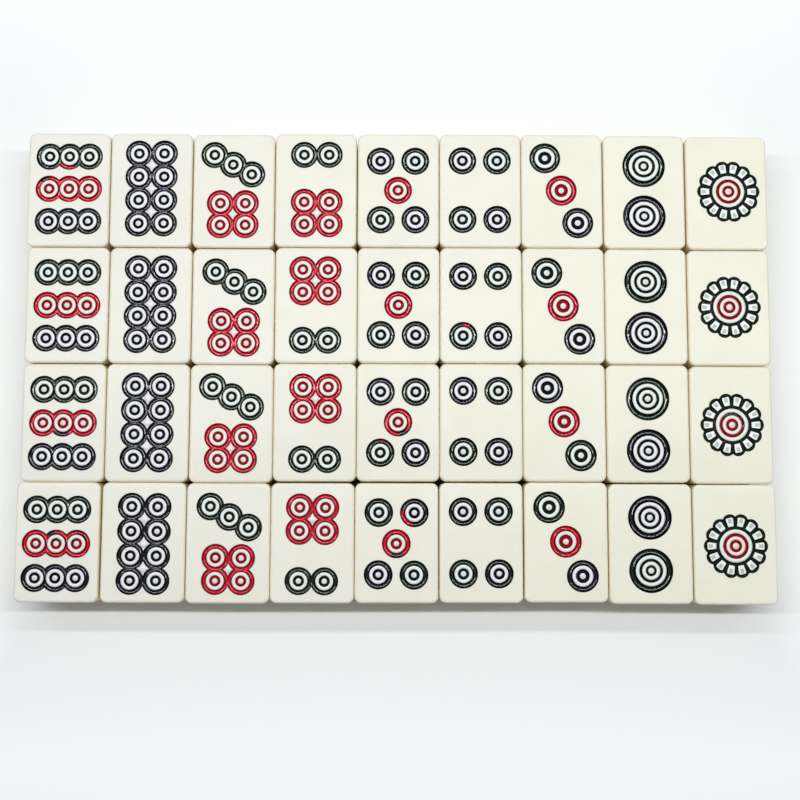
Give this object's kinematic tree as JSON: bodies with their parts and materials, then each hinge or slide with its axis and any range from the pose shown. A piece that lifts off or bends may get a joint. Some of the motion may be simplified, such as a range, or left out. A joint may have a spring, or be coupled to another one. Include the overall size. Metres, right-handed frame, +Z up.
{
  "type": "mahjong tile suit",
  "caption": "Loose ivory mahjong tiles of the circles suit, laid face up in a close grid: polished blocks whose engraved rings are painted green, navy and red.",
  "frame": {"origin": "on the table, under the middle of the layout of tiles", "axes": "+X along the rows from the nines to the ones, +Y from row 4 up to row 1, +Z up out of the tiles' faces"},
  "size_m": [0.219, 0.1382, 0.018],
  "materials": {
    "tile_ivory": "polished melamine, slightly mottled ivory",
    "green_paint": "glossy enamel, a coat that follows its round-bottomed channel",
    "navy_paint": "glossy enamel, a coat that follows its round-bottomed channel",
    "red_paint": "glossy enamel, a coat that follows its round-bottomed channel",
    "petal_wash": "thin pale green wash of paint"
  },
  "bodies": {
    "circles_nine_1_body": {"circles_nine_1": "tile_ivory"},
    "circles_eight_1_body": {"circles_eight_1": "tile_ivory"},
    "circles_seven_1_body": {"circles_seven_1": "tile_ivory"},
    "circles_six_1_body": {"circles_six_1": "tile_ivory"},
    "circles_five_1_body": {"circles_five_1": "tile_ivory"},
    "circles_four_1_body": {"circles_four_1": "tile_ivory"},
    "circles_three_1_body": {"circles_three_1": "tile_ivory"},
    "circles_two_1_body": {"circles_two_1": "tile_ivory"},
    "circles_one_1_body": {"circles_one_1": "tile_ivory"},
    "circles_nine_2_body": {"circles_nine_2": "tile_ivory"},
    "circles_eight_2_body": {"circles_eight_2": "tile_ivory"},
    "circles_seven_2_body": {"circles_seven_2": "tile_ivory"},
    "circles_six_2_body": {"circles_six_2": "tile_ivory"},
    "circles_five_2_body": {"circles_five_2": "tile_ivory"},
    "circles_four_2_body": {"circles_four_2": "tile_ivory"},
    "circles_three_2_body": {"circles_three_2": "tile_ivory"},
    "circles_two_2_body": {"circles_two_2": "tile_ivory"},
    "circles_one_2_body": {"circles_one_2": "tile_ivory"},
    "circles_nine_3_body": {"circles_nine_3": "tile_ivory"},
    "circles_eight_3_body": {"circles_eight_3": "tile_ivory"},
    "circles_seven_3_body": {"circles_seven_3": "tile_ivory"},
    "circles_six_3_body": {"circles_six_3": "tile_ivory"},
    "circles_five_3_body": {"circles_five_3": "tile_ivory"},
    "circles_four_3_body": {"circles_four_3": "tile_ivory"},
    "circles_three_3_body": {"circles_three_3": "tile_ivory"},
    "circles_two_3_body": {"circles_two_3": "tile_ivory"},
    "circles_one_3_body": {"circles_one_3": "tile_ivory"},
    "circles_nine_4_body": {"circles_nine_4": "tile_ivory"},
    "circles_eight_4_body": {"circles_eight_4": "tile_ivory"},
    "circles_seven_4_body": {"circles_seven_4": "tile_ivory"},
    "circles_six_4_body": {"circles_six_4": "tile_ivory"},
    "circles_five_4_body": {"circles_five_4": "tile_ivory"},
    "circles_four_4_body": {"circles_four_4": "tile_ivory"},
    "circles_three_4_body": {"circles_three_4": "tile_ivory"},
    "circles_two_4_body": {"circles_two_4": "tile_ivory"},
    "circles_one_4_body": {"circles_one_4": "tile_ivory"}
  },
  "joints": [
    {"name": "lift_circles_nine_1", "type": "slide", "parent": "circles_four_2_body", "child": "circles_nine_1_body", "axis": [0, 0, 1], "range_m": [0, 0.025]},
    {"name": "lift_circles_eight_1", "type": "slide", "parent": "circles_four_2_body", "child": "circles_eight_1_body", "axis": [0, 0, 1], "range_m": [0, 0.025]},
    {"name": "lift_circles_seven_1", "type": "slide", "parent": "circles_four_2_body", "child": "circles_seven_1_body", "axis": [0, 0, 1], "range_m": [0, 0.025]},
    {"name": "lift_circles_six_1", "type": "slide", "parent": "circles_four_2_body", "child": "circles_six_1_body", "axis": [0, 0, 1], "range_m": [0, 0.025]},
    {"name": "lift_circles_five_1", "type": "slide", "parent": "circles_four_2_body", "child": "circles_five_1_body", "axis": [0, 0, 1], "range_m": [0, 0.025]},
    {"name": "lift_circles_four_1", "type": "slide", "parent": "circles_four_2_body", "child": "circles_four_1_body", "axis": [0, 0, 1], "range_m": [0, 0.025]},
    {"name": "lift_circles_three_1", "type": "slide", "parent": "circles_four_2_body", "child": "circles_three_1_body", "axis": [0, 0, 1], "range_m": [0, 0.025]},
    {"name": "lift_circles_two_1", "type": "slide", "parent": "circles_four_2_body", "child": "circles_two_1_body", "axis": [0, 0, 1], "range_m": [0, 0.025]},
    {"name": "lift_circles_one_1", "type": "slide", "parent": "circles_four_2_body", "child": "circles_one_1_body", "axis": [0, 0, 1], "range_m": [0, 0.025]},
    {"name": "lift_circles_nine_2", "type": "slide", "parent": "circles_four_2_body", "child": "circles_nine_2_body", "axis": [0, 0, 1], "range_m": [0, 0.025]},
    {"name": "lift_circles_eight_2", "type": "slide", "parent": "circles_four_2_body", "child": "circles_eight_2_body", "axis": [0, 0, 1], "range_m": [0, 0.025]},
    {"name": "lift_circles_seven_2", "type": "slide", "parent": "circles_four_2_body", "child": "circles_seven_2_body", "axis": [0, 0, 1], "range_m": [0, 0.025]},
    {"name": "lift_circles_six_2", "type": "slide", "parent": "circles_four_2_body", "child": "circles_six_2_body", "axis": [0, 0, 1], "range_m": [0, 0.025]},
    {"name": "lift_circles_five_2", "type": "slide", "parent": "circles_four_2_body", "child": "circles_five_2_body", "axis": [0, 0, 1], "range_m": [0, 0.025]},
    {"name": "lift_circles_three_2", "type": "slide", "parent": "circles_four_2_body", "child": "circles_three_2_body", "axis": [0, 0, 1], "range_m": [0, 0.025]},
    {"name": "lift_circles_two_2", "type": "slide", "parent": "circles_four_2_body", "child": "circles_two_2_body", "axis": [0, 0, 1], "range_m": [0, 0.025]},
    {"name": "lift_circles_one_2", "type": "slide", "parent": "circles_four_2_body", "child": "circles_one_2_body", "axis": [0, 0, 1], "range_m": [0, 0.025]},
    {"name": "lift_circles_nine_3", "type": "slide", "parent": "circles_four_2_body", "child": "circles_nine_3_body", "axis": [0, 0, 1], "range_m": [0, 0.025]},
    {"name": "lift_circles_eight_3", "type": "slide", "parent": "circles_four_2_body", "child": "circles_eight_3_body", "axis": [0, 0, 1], "range_m": [0, 0.025]},
    {"name": "lift_circles_seven_3", "type": "slide", "parent": "circles_four_2_body", "child": "circles_seven_3_body", "axis": [0, 0, 1], "range_m": [0, 0.025]},
    {"name": "lift_circles_six_3", "type": "slide", "parent": "circles_four_2_body", "child": "circles_six_3_body", "axis": [0, 0, 1], "range_m": [0, 0.025]},
    {"name": "lift_circles_five_3", "type": "slide", "parent": "circles_four_2_body", "child": "circles_five_3_body", "axis": [0, 0, 1], "range_m": [0, 0.025]},
    {"name": "lift_circles_four_3", "type": "slide", "parent": "circles_four_2_body", "child": "circles_four_3_body", "axis": [0, 0, 1], "range_m": [0, 0.025]},
    {"name": "lift_circles_three_3", "type": "slide", "parent": "circles_four_2_body", "child": "circles_three_3_body", "axis": [0, 0, 1], "range_m": [0, 0.025]},
    {"name": "lift_circles_two_3", "type": "slide", "parent": "circles_four_2_body", "child": "circles_two_3_body", "axis": [0, 0, 1], "range_m": [0, 0.025]},
    {"name": "lift_circles_one_3", "type": "slide", "parent": "circles_four_2_body", "child": "circles_one_3_body", "axis": [0, 0, 1], "range_m": [0, 0.025]},
    {"name": "lift_circles_nine_4", "type": "slide", "parent": "circles_four_2_body", "child": "circles_nine_4_body", "axis": [0, 0, 1], "range_m": [0, 0.025]},
    {"name": "lift_circles_eight_4", "type": "slide", "parent": "circles_four_2_body", "child": "circles_eight_4_body", "axis": [0, 0, 1], "range_m": [0, 0.025]},
    {"name": "lift_circles_seven_4", "type": "slide", "parent": "circles_four_2_body", "child": "circles_seven_4_body", "axis": [0, 0, 1], "range_m": [0, 0.025]},
    {"name": "lift_circles_six_4", "type": "slide", "parent": "circles_four_2_body", "child": "circles_six_4_body", "axis": [0, 0, 1], "range_m": [0, 0.025]},
    {"name": "lift_circles_five_4", "type": "slide", "parent": "circles_four_2_body", "child": "circles_five_4_body", "axis": [0, 0, 1], "range_m": [0, 0.025]},
    {"name": "lift_circles_four_4", "type": "slide", "parent": "circles_four_2_body", "child": "circles_four_4_body", "axis": [0, 0, 1], "range_m": [0, 0.025]},
    {"name": "lift_circles_three_4", "type": "slide", "parent": "circles_four_2_body", "child": "circles_three_4_body", "axis": [0, 0, 1], "range_m": [0, 0.025]},
    {"name": "lift_circles_two_4", "type": "slide", "parent": "circles_four_2_body", "child": "circles_two_4_body", "axis": [0, 0, 1], "range_m": [0, 0.025]},
    {"name": "lift_circles_one_4", "type": "slide", "parent": "circles_four_2_body", "child": "circles_one_4_body", "axis": [0, 0, 1], "range_m": [0, 0.025]}
  ]
}
